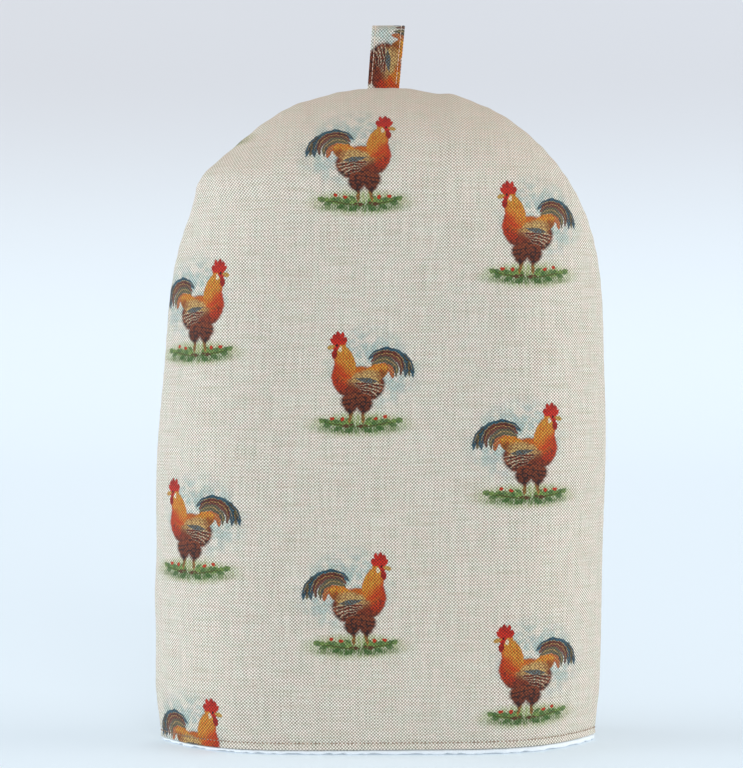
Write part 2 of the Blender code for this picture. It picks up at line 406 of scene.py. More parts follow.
# ---------------------------------------------------------------- meshes

def add_piece(name, points, faces, cloth=None, sharp=50):
    """One mesh object riding on the cosy, with its place in the flat cloth as its UV map."""
    data = bpy.data.meshes.new(name)
    data.from_pydata(np.asarray(points).tolist(), [], faces)
    data.update()
    if cloth is not None:
        corners = np.empty(len(data.loops), dtype=np.int32)
        data.loops.foreach_get("vertex_index", corners)
        layer = data.uv_layers.new(name="cloth")
        layer.data.foreach_set("uv", np.asarray(cloth)[corners].ravel())
    data.shade_smooth()
    data.set_sharp_from_angle(angle=math.radians(sharp))
    piece = bpy.data.objects.new(name, data)
    bpy.context.scene.collection.objects.link(piece)
    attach(piece, "root")
    return piece


class Skin:
    """One skin of a layer: a grid over the panel and a band turned in at the seam."""

    def __init__(self, grid, side, offset_at, lift_at, turns, first):
        x, z = grid
        rows, columns = x.shape[0], x.shape[1] - 1
        ones = np.ones_like(x)
        u, v = cloth_place(x, z)
        offset = offset_at(x, z, ones, side)
        face = uneven(offset_surface(x, z, ones, offset, side), side)
        face[..., 2] += lift_at(x, z, side)
        places = edge_places(rows, columns)
        edge_x, edge_z = x[tuple(places.T)], z[tuple(places.T)]
        turn = np.broadcast_to(turns, (len(places), len(turns)))
        band_x = np.broadcast_to(edge_x[:, None], turn.shape).copy()
        band_z = np.broadcast_to(edge_z[:, None], turn.shape).copy()
        band_offset = offset_at(band_x, band_z, turn, side)
        band = uneven(offset_surface(band_x, band_z, turn, band_offset, side), side)
        band[..., 2] += lift_at(band_x, band_z, side)
        across, upwards = slope(band_x, band_z)
        steep = np.hypot(across, upwards)
        rolled = (math.pi / 2 - np.arctan(steep)) * (1 - turn) * PANEL_OUTER
        band_u = u[tuple(places.T)][:, None] - rolled * across / steep
        band_v = v[tuple(places.T)][:, None] - rolled * upwards / steep
        self.points = np.vstack((face.reshape(-1, 3), band.reshape(-1, 3)))
        self.cloth = np.vstack(
            (
                np.stack((u.ravel(), v.ravel()), axis=-1),
                np.stack((band_u.ravel(), band_v.ravel()), axis=-1),
            )
        )
        ids = first + np.arange(rows * (columns + 1)).reshape(rows, columns + 1)
        start = first + ids.size
        band_ids = start + np.arange(len(places) * len(turns)).reshape(len(places), -1)
        self.band_ids = np.hstack((ids[tuple(places.T)][:, None], band_ids))
        self.seam = self.band_ids[:, -1]
        self.hem = np.concatenate(
            (self.band_ids[0][:0:-1], ids[0], self.band_ids[-1][1:])
        )
        self.grids = (ids, self.band_ids.T)

    def faces(self, flip):
        """The quads of the skin, wound the other way where flip is set."""
        found = []
        for ids, turned in zip(self.grids, (False, True)):
            quads = np.stack((ids[:-1, :-1], ids[:-1, 1:], ids[1:, 1:], ids[1:, :-1]), axis=-1)
            quads = quads.reshape(-1, 4)
            found.append(quads[:, ::-1] if flip != turned else quads)
        return np.vstack(found).tolist()


def strip(first, second, flip):
    """Quads between two edges that have the same number of points."""
    quads = np.stack((first[:-1], first[1:], second[1:], second[:-1]), axis=-1)
    return (quads[:, ::-1] if flip else quads).tolist()


def cloth_half(name, side, grid, outside, inside, lift_at, finish):
    """One closed half of the cosy between its outer skin, which lifts, and its inner skin."""
    turns = np.linspace(1, 0, EDGE_TURNS + 1)[1:]
    outer = Skin(grid, side, outside, lift_at, turns, 0)
    inner = Skin(grid, side, inside, no_lift, turns, len(outer.points))
    out_flip = side == BACK
    faces = outer.faces(out_flip) + inner.faces(not out_flip)
    faces += strip(outer.seam, inner.seam, not out_flip)
    faces += strip(outer.hem, inner.hem, not out_flip)
    points = np.vstack((outer.points, inner.points))
    cloth = np.vstack((outer.cloth, inner.cloth))
    piece = add_piece(name, points, faces, cloth)
    piece.data.materials.append(finish)
    return piece


def stitch_line(name, line, outwards, sewing, finish):
    """Even topstitches along a line, each a short thread that dips in at its ends."""
    pitch, length, radius = sewing
    runs = np.concatenate(([0], np.cumsum(np.linalg.norm(np.diff(line, axis=0), axis=1))))
    count = int(runs[-1] / pitch)
    spare = (runs[-1] - count * pitch) / 2
    share = np.array([0.0, 0.12, 0.35, 0.65, 0.88, 1.0])
    thick = np.array([0.35, 0.85, 1.0, 1.0, 0.85, 0.35]) * radius
    lift = np.array([-0.9, 0.0, 0.75, 0.75, 0.0, -0.9]) * radius
    angles = np.linspace(0, 2 * math.pi, STITCH_SIDES + 1)[:-1]
    points, faces = [], []
    for k in range(count):
        jitter = 0.00008 * math.sin(k * 2.7) + 0.00005 * math.sin(k * 5.1)
        at = spare + pitch * (k + 0.5) + (share - 0.5) * length + jitter
        middle = np.stack([np.interp(at, runs, line[:, a]) for a in range(3)], axis=-1)
        out = np.stack([np.interp(at, runs, outwards[:, a]) for a in range(3)], axis=-1)
        out /= np.linalg.norm(out, axis=1)[:, None]
        along = np.gradient(middle, axis=0)
        along /= np.linalg.norm(along, axis=1)[:, None]
        across = np.cross(out, along)
        slant = 0.00006 * math.sin(k * 3.3) * (share - 0.5)[:, None] * across * 2
        middle = middle + out * lift[:, None] + slant
        first = len(points) * len(angles)
        for m, o, c, r in zip(middle, out, across, thick):
            points.append(m + r * (np.cos(angles)[:, None] * o + np.sin(angles)[:, None] * c))
        for ring in range(len(share) - 1):
            low = first + ring * STITCH_SIDES
            high = low + STITCH_SIDES
            for a in range(STITCH_SIDES):
                b = (a + 1) % STITCH_SIDES
                faces.append((low + a, low + b, high + b, high + a))
        last = first + (len(share) - 1) * STITCH_SIDES
        faces.append(tuple(first + a for a in reversed(range(STITCH_SIDES))))
        faces.append(tuple(last + a for a in range(STITCH_SIDES)))
    piece = add_piece(name, np.vstack(points), faces)
    piece.data.materials.append(finish)
    return piece


def hem_line(side, height):
    """Line round one half of the hem on the linen's surface, and its outward direction."""
    s = np.sin(np.linspace(-math.pi / 2, math.pi / 2, HEM_LINE_STEPS))
    ends = np.full(HEM_LINE_ENDS, s[0]), np.full(HEM_LINE_ENDS, s[-1])
    x = np.concatenate((ends[0], s, ends[1])) * BASE_HALF_WIDTH
    z = np.full_like(x, height)
    rolled = np.linspace(0.25, 0.97, HEM_LINE_ENDS)
    unrolled = np.linspace(0.97, 0.25, HEM_LINE_ENDS)
    turn = np.concatenate((rolled, np.ones(HEM_LINE_STEPS), unrolled))
    offset = panel_offset(x, z, turn, side)
    line = uneven(offset_surface(x, z, turn, offset, side), side)
    above = uneven(offset_surface(x, z, turn, offset + MM, side), side)
    return line, above - line


# ---------------------------------------------------------------- hanging loop

def loop_path(steps):
    """Middle line of the band in (y, z), up the front leg, round the fold, down the back."""
    foot = HEIGHT - LOOP_SINK
    fold = HEIGHT + LOOP_RISE - LOOP_CLOTH / 2 - LOOP_SPREAD
    closed = LOOP_CLOTH / 2 + SEAM_GAP
    z = np.linspace(foot, fold, steps)
    opened = smooth((z - HEIGHT) / (fold - HEIGHT))
    y = -closed - (LOOP_SPREAD - closed) * opened
    turn = np.linspace(0, math.pi, steps)[1:-1]
    arc = np.stack((-LOOP_SPREAD * np.cos(turn), fold + LOOP_SPREAD * np.sin(turn)), axis=-1)
    leg = np.stack((y, z), axis=-1)
    return np.vstack((leg, arc, leg[::-1] * (-1, 1)))


def loop_frames(steps):
    """Points, outward directions and run of the band's middle line, and its half widths."""
    path = loop_path(steps)
    along = np.gradient(path, axis=0)
    along /= np.linalg.norm(along, axis=1)[:, None]
    outwards = np.stack((-along[:, 1], along[:, 0]), axis=-1)
    run = np.concatenate(([0], np.cumsum(np.linalg.norm(np.diff(path, axis=0), axis=1))))
    foot = HEIGHT - LOOP_SINK
    share = (path[:, 1] - foot) / (HEIGHT + LOOP_RISE - foot)
    half = LOOP_WIDTH / 2 * (1 + LOOP_FLARE * (2 * share - 1))
    middle = LOOP_X + LOOP_SLANT * (path[:, 1] - HEIGHT)
    return path, outwards, run, half, middle


def loop_section():
    """Half outline of the band's section: place across (-1 to 1) and half thickness."""
    across = np.sin(np.linspace(-math.pi / 2, math.pi / 2, 41))
    from_edge = (1 - np.abs(across)) * LOOP_WIDTH / 2
    rounded = np.sqrt(np.clip(1 - (1 - np.clip(from_edge / LOOP_EDGE_ROUND, 0, 1)) ** 2, 0, 1))
    dent = LOOP_STITCH_DENT * bell(from_edge - LOOP_STITCH_INSET, LOOP_STITCH_SPREAD)
    return across, LOOP_CLOTH / 2 * (0.25 + 0.75 * rounded) - dent


def build_loop(finish):
    """The folded band of the hanging loop, closed at its caught ends."""
    path, outwards, run, half, middle = loop_frames(LOOP_STEPS)
    across, thick = loop_section()
    around = np.concatenate((across, across[::-1]))
    signed = np.concatenate((thick, -thick[::-1]))
    ripple = LOOP_RIPPLE * waver(run[:, None] * 420 + around[None, :] * 2.0, 0.9)
    x = middle[:, None] + half[:, None] * around[None, :]
    lift = signed[None, :] + ripple
    y = path[:, 0, None] + outwards[:, 0, None] * lift
    z = path[:, 1, None] + outwards[:, 1, None] * lift
    points = np.stack((x, y, z), axis=-1).reshape(-1, 3)
    u = np.broadcast_to(around * LOOP_WIDTH / 2, x.shape)
    v = np.broadcast_to(run[:, None], x.shape)
    cloth = np.stack((u, v), axis=-1).reshape(-1, 2)
    count = len(around)
    ids = np.arange(len(points)).reshape(-1, count)
    ids = np.hstack((ids, ids[:, :1]))
    quads = np.stack((ids[:-1, :-1], ids[:-1, 1:], ids[1:, 1:], ids[1:, :-1]), axis=-1)
    faces = quads.reshape(-1, 4).tolist()
    faces.append(ids[0, :-1][::-1].tolist())
    faces.append(ids[-1, :-1].tolist())
    piece = add_piece("hanging_loop_cloth", points, faces, cloth)
    piece.data.materials.append(finish)
    return piece


def loop_line(edge):
    """Topstitching line near one long edge of the loop's outer side."""
    path, outwards, run, half, middle = loop_frames(LOOP_STITCH_STEPS)
    keep = path[:, 1] > HEIGHT + 0.001
    inset = half - LOOP_STITCH_INSET
    lift = LOOP_CLOTH / 2 - LOOP_STITCH_SINK
    line = np.stack(
        (
            middle + edge * inset,
            path[:, 0] + outwards[:, 0] * lift,
            path[:, 1] + outwards[:, 1] * lift,
        ),
        axis=-1,
    )
    out = np.stack((np.zeros(len(path)), outwards[:, 0], outwards[:, 1]), axis=-1)
    return line[keep], out[keep]


# ---------------------------------------------------------------- shader expressions

class Value:
    """A socket whose Python operators add Math nodes."""

    def __init__(self, bench, socket):
        self.bench = bench
        self.socket = socket

    def math(self, operation, *values):
        return self.bench.add("Math", {"operation": operation}, values)

    def __add__(self, other):
        return self.math("ADD", self, other)

    def __sub__(self, other):
        return self.math("SUBTRACT", self, other)

    def __rsub__(self, other):
        return self.math("SUBTRACT", other, self)

    def __mul__(self, other):
        return self.math("MULTIPLY", self, other)

    def __truediv__(self, other):
        return self.math("DIVIDE", self, other)

    def __pow__(self, other):
        return self.math("POWER", self, other)

    def __abs__(self):
        return self.math("ABSOLUTE", self)

    __radd__ = __add__
    __rmul__ = __mul__

    def sin(self):
        return self.math("SINE", self)

    def floor(self):
        return self.math("FLOOR", self)

    def part(self):
        """What is left over the whole number below."""
        return self.math("FRACT", self)

    def most(self, other):
        """The larger of the two."""
        return self.math("MAXIMUM", self, other)

    def ease(self, low, high, start=0.0, end=1.0):
        """Smooth step from start at low to end at high."""
        settings = {"interpolation_type": "SMOOTHSTEP"}
        return self.bench.add("MapRange", settings, (self, low, high, start, end))


class Bench:
    """Adds nodes to one material and ends in its Principled shader."""

    def __init__(self, name, roughness, sheen=0.0):
        self.material = bpy.data.materials.new(name)
        self.material.use_nodes = True
        self.tree = self.material.node_tree
        self.shader = self.tree.nodes["Principled BSDF"]
        self.shader.inputs["Roughness"].default_value = roughness
        self.shader.inputs["Sheen Weight"].default_value = sheen
        self.shader.inputs["Sheen Roughness"].default_value = 0.5
        self.shader.inputs["Specular IOR Level"].default_value = 0.25

    def join(self, socket, value):
        """Links a value to a socket, or sets a plain number or colour there."""
        if isinstance(value, Value):
            self.tree.links.new(value.socket, socket)
        elif value is not None:
            socket.default_value = value

    def add(self, kind, settings=None, values=(), out=0):
        """Any node: its type, its settings, then its sockets by place or by name."""
        node = self.tree.nodes.new("ShaderNode" + kind)
        for key, setting in (settings or {}).items():
            setattr(node, key, setting)
        pairs = values.items() if isinstance(values, dict) else enumerate(values)
        for key, value in pairs:
            self.join(node.inputs[key], value)
        return Value(self, node.outputs[out])

    def vector(self, operation, *values):
        out = "Value" if operation in ("LENGTH", "DOT_PRODUCT") else 0
        return self.add("VectorMath", {"operation": operation}, values, out)

    def together(self, x, y, z=0.0):
        return self.add("CombineXYZ", None, (x, y, z))

    def apart(self, vector):
        return [self.add("SeparateXYZ", None, (vector,), k) for k in range(2)]

    def mix(self, below, above, share, blend="MIX"):
        settings = {"data_type": "RGBA", "blend_type": blend}
        return self.add("Mix", settings, {0: share, 6: below, 7: above}, 2)

    def noise(self, vector, scale, detail=2.0, out=0):
        return self.add(
            "TexNoise", None, {"Vector": vector, "Scale": scale, "Detail": detail}, out
        )

    def set(self, name, value):
        """Feeds a socket of the Principled shader."""
        self.join(self.shader.inputs[name], value)

    def bump(self, height, distance, strength):
        values = {"Height": height, "Distance": distance, "Strength": strength}
        self.set("Normal", self.add("Bump", None, values))


def paint(red, green, blue):
    """Colour from display numbers of 0 to 255, as the shader's linear one."""
    return (*[((c / 255 + 0.055) / 1.055) ** 2.4 for c in (red, green, blue)], 1.0)


# ---------------------------------------------------------------- printed cockerel

INK = {
    "comb": paint(200, 44, 30),
    "comb_dark": paint(140, 26, 24),
    "beak": paint(198, 156, 84),
    "eye": paint(30, 22, 22),
    "cream": paint(232, 220, 194),
    "gold": paint(214, 158, 62),
    "amber": paint(206, 108, 34),
    "orange_red": paint(198, 58, 24),
    "chestnut": paint(124, 54, 34),
    "rust": paint(160, 78, 44),
    "umber": paint(56, 32, 32),
    "ochre": paint(206, 172, 112),
    "olive": paint(116, 104, 58),
    "teal": paint(52, 104, 130),
    "night": paint(28, 44, 58),
    "shank": paint(172, 126, 66),
    "shank_dark": paint(96, 66, 42),
    "leaf": paint(128, 160, 78),
    "leaf_dark": paint(66, 106, 52),
    "stalk": paint(88, 98, 52),
    "berry": paint(196, 58, 34),
    "meadow": paint(160, 180, 118),
    "mist": paint(168, 198, 202),
}


class Print:
    """Paints one motif in layers, in millimetres from its middle.

    Shapes see a slightly wobbly place, whose third number is 1, so that one dot product
    gives a place along any line. Feather marks and washes see the steady place.
    """

    def __init__(self, bench, x, y, ground):
        self.bench = bench
        self.steady = bench.together(x, y, 1.0)
        self.wash = bench.noise(self.steady, 0.22, 4.0)
        self.blot = self.wash.ease(0.36, 0.64)
        wobble = bench.noise(self.steady, 0.42, 3.0, 1)
        wobble = bench.vector("SUBTRACT", wobble, (0.5, 0.5, 0.5))
        wobble = bench.vector("MULTIPLY", wobble, (2.0, 2.0, 0))
        self.place = bench.vector("ADD", self.steady, wobble)
        self.colour = ground

    def along(self, a, b, start=0.0):
        """Distance of the place along the line with slopes a and b."""
        return self.bench.vector("DOT_PRODUCT", self.place, (a, b, start))

    def local(self, middle, turn, size):
        """The place along and across a shape, from its middle, as shares of its size."""
        c, s = math.cos(math.radians(turn)), math.sin(math.radians(turn))
        lines = ((c / size[0], s / size[0]), (-s / size[1], c / size[1]))
        return [self.along(a, b, -a * middle[0] - b * middle[1]) for a, b in lines]

    def within(self, mask, ink, strength=1.0):
        """Lays ink inside the silhouette of the bird alone."""
        self.lay(mask * self.bird, ink, strength)

    def tone(self, dark, light, field=None):
        """Blend of two inks, blotchy unless a field says where each lies."""
        return self.bench.mix(INK[dark], INK[light], self.blot if field is None else field)

    def rise(self, lean, low, high):
        """Soft ramp from 0 to 1 upwards over the motif, tilted by lean."""
        return self.along(lean, 1.0).ease(low, high)

    def grain(self, turn, length, width):
        """The steady place turned and scaled, for marks of that length and width."""
        values = {
            "Vector": self.steady,
            "Rotation": (0, 0, math.radians(turn)),
            "Scale": (length, width, 1),
        }
        return self.bench.add("Mapping", {"vector_type": "TEXTURE"}, values)

    def streaks(self, turn, length, width):
        """Fine feather marks that run in one direction."""
        return self.bench.noise(self.grain(turn, length, width), 1.0).ease(0.40, 0.58)

    def scallops(self, turn, length, width):
        """Rows of small rounded feathers with dark gaps between them."""
        values = {"Vector": self.grain(turn, length, width), "Scale": 1.0}
        settings = {"voronoi_dimensions": "2D"}
        return self.bench.add("TexVoronoi", settings, values, "Distance").ease(0.62, 0.34)

    def lay(self, mask, ink, strength=1.0):
        """Lays ink over what is printed so far."""
        mask = mask * strength if strength != 1.0 else mask
        self.colour = self.bench.mix(self.colour, ink, mask)

    def oval(self, middle, size, turn=0, soft=0.1):
        """Oval of those half sizes, its edge as soft as that share of them."""
        x, y = self.local(middle, turn, size)
        return (x * x + y * y).ease((1 + soft) ** 2, (1 - soft) ** 2)

    def leaf(self, root, tip, width, soft=0.25):
        """Pointed oval from its root to its tip."""
        run = (tip[0] - root[0], tip[1] - root[1])
        length = math.hypot(*run)
        middle = (root[0] + run[0] / 2, root[1] + run[1] / 2)
        turn = math.degrees(math.atan2(run[1], run[0]))
        x, y = self.local(middle, turn, (length / 2, width / 2))
        return (1 - x * x - abs(y)).ease(-soft, soft)

    def sickle(self, middle, radius, start, end, width):
        """Curved tail feather on an arc, in degrees, pointed at both ends."""
        x, y = self.local(middle, start, (radius, radius))
        share = y.math("ARCTAN2", y, x) / math.radians(end - start)
        away = abs((x * x + y * y) ** 0.5 - 1) * (radius / width)
        body = ((share * (1 - share)).most(0.0) * 4) ** 0.6
        return (body - away).ease(0.0, 0.22)


def paint_sprigs(art):
    """Two leafy stems with a few berries under the bird's feet, on a soft green wash."""
    blades = art.streaks(82, 5.0, 0.7)
    art.lay(art.oval((-1.0, -23.4), (20.0, 5.0), 0, 0.6) * (blades * 0.6 + 0.4), INK["meadow"])
    art.lay(art.oval((-0.5, -25.6), (16.0, 1.9), 0, 0.7) * (blades * 0.5 + 0.4), INK["leaf_dark"])
    for side, span in ((-1, 19.0), (1, 17.0)):
        for k in range(6):
            share = k / 5
            x = side * (2.4 + (span - 3) * share)
            y = -25.0 + 2.8 * share * share
            up = (x + side * 4.4, y + 5.4 - 0.8 * k)
            down = (x + side * 4.8, y - 2.6 + 0.4 * k)
            art.lay(art.leaf((x, y), up, 2.9), art.tone("leaf_dark", "leaf"), 0.9)
            if k % 2 == 0:
                art.lay(art.leaf((x, y), down, 2.4), INK["leaf_dark"], 0.8)
        art.lay(art.leaf((side * 0.5, -25.2), (side * (span + 1), -22.0), 0.9), INK["stalk"])
    for x, y in ((-8.6, -20.4), (-13.8, -19.6), (8.4, -20.6), (13.6, -20.2)):
        art.lay(art.oval((x, y), (1.0, 1.0), 0, 0.25), INK["berry"])


def paint_legs(art):
    """Two shanks, each with three toes."""
    for foot, knee in (((5.0, -23.4), (3.4, -15.0)), ((-2.4, -23.6), (-2.0, -15.4))):
        art.lay(art.leaf(knee, foot, 1.8, 0.3), art.tone("shank_dark", "shank"))
        for toe in ((3.6, -1.0), (2.2, -1.9), (-2.4, -0.5)):
            tip = (foot[0] + toe[0], foot[1] + toe[1])
            art.lay(art.leaf(foot, tip, 1.1, 0.3), INK["shank_dark"])


def paint_tail(art):
    """Curved tail feathers, brown and blue-green in turn, with pale quills."""
    feathers = (
        ((-13.0, -1.0), 14.6, 66, 172, 1.9, "chestnut", "umber"),
        ((-14.0, 0.5), 13.6, 54, 182, 2.2, "teal", "night"),
        ((-13.0, 2.0), 12.4, 42, 186, 2.1, "olive", "umber"),
        ((-13.0, 3.6), 10.8, 34, 196, 2.3, "teal", "night"),
        ((-13.2, 4.6), 8.4, 24, 204, 2.0, "chestnut", "umber"),
        ((-12.0, 3.0), 7.0, 30, 200, 1.9, "olive", "night"),
        ((-11.5, 1.5), 5.4, 40, 200, 1.8, "amber", "chestnut"),
    )
    barbs = art.streaks(20, 1.6, 0.5)
    for middle, radius, start, end, width, light, dark in feathers:
        shaded = art.tone(dark, light, barbs * 0.6 + art.blot * 0.4)
        art.lay(art.sickle(middle, radius, start, end, width), shaded, 0.94)
        quill = art.sickle(middle, radius + 0.2, start + 10, end - 16, width * 0.2)
        art.lay(quill, INK["ochre"], 0.45)


def paint_body(art):
    """Dark scalloped belly, red breast, golden back and a barred wing."""
    scales = art.scallops(-16, 2.2, 1.5)
    fine = art.scallops(-30, 1.7, 1.0)
    down = art.streaks(-62, 3.2, 0.6)
    neck = art.oval((7.8, 8.6), (5.0, 8.6), -18)
    breast = art.oval((7.2, 0.6), (7.0, 9.6), -14)
    saddle = art.oval((-8.2, 3.2), (7.0, 4.2), -24)
    thighs = art.leaf((4.2, -5.0), (4.4, -18.4), 10.0)
    thighs = thighs.most(art.leaf((-2.4, -5.0), (-2.6, -18.8), 9.4))
    body = art.oval((-0.5, -2.6), (12.6, 9.0), 10).most(thighs)
    art.bird = body.most(breast).most(neck).most(saddle)
    shade = art.rise(0.1, -18.0, 2.0) * (scales * 0.6 + 0.1) + scales * 0.3
    art.lay(art.bird, art.tone("umber", "rust", shade))
    flame = art.tone("chestnut", "orange_red", art.rise(0.3, -6.5, 1.0))
    art.within(art.oval((8.4, 1.6), (6.4, 9.0), -14, 0.5), flame, 0.95)
    art.within(art.oval((9.4, -3.4), (4.0, 4.6), 30, 0.7) * (1 - fine), INK["umber"], 0.7)
    art.within(art.oval((3.4, 5.4), (6.4, 5.0), -30, 0.7), INK["amber"], 0.9)
    art.lay(saddle, art.tone("amber", "gold", down))
    art.within(art.oval((-10.8, 0.4), (4.6, 3.4), -40, 0.5), INK["chestnut"], 0.8)
    wing = art.tone("chestnut", "ochre", art.rise(-0.25, -6.0, 1.0) * (0.4 + fine * 0.6))
    art.within(art.oval((-2.0, -0.8), (8.6, 5.0), -14, 0.2), wing)
    for k in range(4):
        root = (4.0 - 1.4 * k, -2.2 - 1.2 * k)
        tip = (-12.8 + 1.0 * k, -3.2 - 1.7 * k)
        art.lay(art.leaf(root, tip, 2.4), INK["cream"], 0.55)
        shadow = (tip[0] + 0.7, tip[1] - 0.2)
        art.lay(art.leaf(root, shadow, 1.7), art.tone("umber", "chestnut", down))
    art.lay(art.leaf((2.6, 0.2), (-9.6, -1.6), 2.6), art.tone("night", "teal", down), 0.8)


def paint_head(art):
    """Streaked golden neck, red comb and wattle, pale ear."""
    down = art.streaks(68, 3.6, 0.5)
    golden = art.tone("amber", "gold", down)
    neck = art.bench.mix(INK["orange_red"], golden, art.rise(-1.0, -8.0, 2.0))
    art.lay(art.oval((7.8, 8.6), (5.0, 8.6), -18), neck)
    art.lay(art.oval((10.8, 16.6), (3.2, 3.5), -20), golden)
    lobes = (
        (8.2, 20.0, 1.2, 2.0, 28),
        (9.8, 21.8, 1.2, 2.5, 12),
        (11.8, 22.3, 1.2, 2.6, -2),
        (13.6, 21.6, 1.1, 2.2, -16),
        (14.9, 20.0, 0.9, 1.6, -30),
    )
    for x, y, rx, ry, turn in lobes:
        art.lay(art.oval((x, y), (rx, ry), turn, 0.15), art.tone("comb_dark", "comb"))
    art.lay(art.oval((11.4, 19.0), (3.8, 1.5), 2), INK["comb"])
    art.lay(art.oval((12.8, 16.8), (2.0, 2.0)), INK["comb"])
    art.lay(art.leaf((13.4, 17.2), (17.6, 15.8), 2.2), INK["beak"])
    art.lay(art.oval((13.4, 13.0), (1.3, 2.7), 8), art.tone("comb_dark", "comb"))
    art.lay(art.oval((10.4, 15.4), (0.9, 1.3), 12, 0.25), INK["cream"])
    art.lay(art.oval((12.5, 17.5), (0.65, 0.65), 0, 0.3), INK["eye"])


def paint_cockerels(bench, place, ground):
    """Columns of cockerels on leafy sprigs, each column lower than the last.

    The birds face left and right in turn.
    """
    x, y = bench.apart(place)
    across = x * (1 / REPEAT[0]) + 0.5
    column = across.floor()
    up = (y + column * COLUMN_DROP) * (1 / REPEAT[1]) + 0.5
    facing = 1 - ((column + up.floor()) * 0.5).part() * 4
    near_x = (across.part() - 0.5) * REPEAT[0] * facing
    near_y = (up.part() - 0.5) * REPEAT[1]
    art = Print(bench, near_x, near_y, ground)
    haze = art.oval((-6.0, 6.0), (19.0, 15.0), 20, 0.6)
    art.lay(haze * art.wash.ease(0.36, 0.62), INK["mist"], 0.8)
    paint_sprigs(art)
    paint_legs(art)
    paint_tail(art)
    paint_body(art)
    paint_head(art)
    return art.colour


# ---------------------------------------------------------------- cloths

def printed_linen(name, cut, turn):
    """Linen of cream and grey-brown threads under the print, darkened by painted shade and its
    weave smoothed where the cloth faces upwards.

    cut is the place in the print, in millimetres, at which the cloth's own zero lies,
    and turn is how far the cloth was turned when it was cut, in degrees.
    """
    bench = Bench(name, 0.88, 0.12)
    cloth = bench.add("UVMap", {"uv_map": "cloth"})
    turned = bench.add(
        "Mapping",
        {"vector_type": "POINT"},
        {
            "Vector": cloth,
            "Location": (*cut, 0),
            "Rotation": (0, 0, math.radians(turn)),
            "Scale": (1 / MM, 1 / MM, 0),
        },
    )
    x, y = bench.apart(turned)
    warp_slub = bench.noise(bench.together(x * 1.1, y * 0.045), 1.0, 3.0)
    weft_slub = bench.noise(bench.together(x * 0.045, y * 1.1), 1.0, 3.0)
    pitch = math.pi / (THREAD / MM)
    warp_wave = (x * pitch + (weft_slub - 0.5) * 1.6).sin()
    weft_wave = (y * pitch + (warp_slub - 0.5) * 1.6).sin()
    warp_up = (warp_wave * weft_wave).ease(-0.45, 0.45)
    rounded = (abs(warp_wave) * abs(weft_wave)) ** 0.5
    fleck = bench.noise(turned, 0.55, 4.0).ease(0.35, 0.65)
    ground = paint_cockerels(bench, turned, paint(235, 231, 225))
    tint = bench.noise(turned, 0.16, 3.0).ease(0.34, 0.66)
    point = bench.noise(turned, 1.3, 1.0).ease(0.30, 0.70)
    brown = bench.mix(paint(120, 116, 100), paint(144, 127, 120), tint)
    brown = bench.mix(brown, paint(192, 186, 178), warp_slub.ease(0.34, 0.64))
    brown = bench.mix(paint(136, 130, 122), brown, fleck * 0.5 + point * 0.5)
    cream = bench.mix(paint(236, 234, 224), paint(255, 254, 251), weft_slub.ease(0.30, 0.62))
    patch = bench.mix(paint(250, 253, 249), paint(255, 251, 249), tint)
    ground = bench.mix(ground, patch, 1.0, "MULTIPLY")
    woven = bench.mix(ground, bench.mix(cream, brown, warp_up), 1.0, "MULTIPLY")
    # Painted shade: where the cloth faces upwards, as over the top of the arch, its colour is
    # darkened toward a flat grey-brown and its weave smoothed away.
    facing = bench.add("NewGeometry", None, (), "Normal")
    bent = bench.vector("DOT_PRODUCT", facing, (0, 0, 1)).ease(0.25, 0.85)
    closed = bench.mix(ground, paint(194, 182, 170), 1.0, "MULTIPLY")
    woven = bench.mix(woven, closed, bent * 0.85)
    shade = rounded * 0.30 + 0.78
    shaded = bench.mix(woven, bench.together(shade, shade, shade), 1.0, "MULTIPLY")
    bench.set("Base Color", shaded)
    bench.bump(rounded + warp_slub, 0.00022, 0.5)
    return bench.material


def white_lining():
    """Soft white brushed cotton."""
    bench = Bench("white_lining", 0.92, 0.3)
    place = bench.add("TexCoord", None, (), "Object")
    nap = bench.noise(place, 900.0, 3.0)
    cloud = bench.noise(place, 60.0, 3.0)
    bench.set("Base Color", bench.mix(paint(208, 216, 222), paint(222, 228, 234), nap))
    bench.bump(nap + cloud * 2, 0.0004, 0.45)
    return bench.material


def sewing_thread(name, light, dark):
    """Twisted sewing thread."""
    bench = Bench(name, 0.7, 0.1)
    place = bench.add("TexCoord", None, (), "Object")
    ply = bench.noise(place, 2600.0, 2.0)
    bench.set("Base Color", bench.mix(dark, light, ply.ease(0.35, 0.65)))
    bench.bump(ply, 0.0001, 0.4)
    return bench.material


# ---------------------------------------------------------------- the cosy


def build_cosy():
    """All pieces of the cosy, each standing for its solid."""
    white = white_lining()
    hem_thread = sewing_thread("hem_thread", paint(164, 142, 124), paint(118, 96, 80))
    loop_thread = sewing_thread("loop_thread", paint(236, 216, 198), paint(196, 168, 150))
    half = float(cloth_place(np.array([BASE_HALF_WIDTH]), np.array([0.1]))[0][0]) + PANEL_OUTER
    panel_grid = base_grid(panel_rows(), COLUMNS, DOME_ROWS)
    lining_grid = base_grid(lining_rows(), LINING_COLUMNS, LINING_DOME_ROWS)
    for word, side, cut in (("front", FRONT, FRONT_CUT), ("back", BACK, BACK_CUT)):
        linen = printed_linen("printed_linen_" + word, cut, PANEL_TURN * side)
        skins = panel_offset, panel_inside, no_lift
        panel = cloth_half(word + "_panel_cloth", side, panel_grid, *skins, linen)
        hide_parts(word + "_panel")
        line, out = hem_line(side, HEM_RISE + HEM_STITCH_RISE)
        stitches = stitch_line(word + "_hem_stitches", line, out, HEM_STITCHES, hem_thread)
        skins = lining_outside, lining_inside, lip_lift
        lining = cloth_half(word + "_lining_cloth", side, lining_grid, *skins, white)
        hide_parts(word + "_lining")
    loop_linen = printed_linen("printed_linen_loop", LOOP_CUT, LOOP_TURN)
    loop = build_loop(loop_linen)
    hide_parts("hanging_loop")
    for word, edge in (("left", -1), ("right", 1)):
        row = stitch_line("loop_stitches_" + word, *loop_line(edge), LOOP_STITCHES, loop_thread)
    float(loop_frames(LOOP_STEPS)[2][-1])


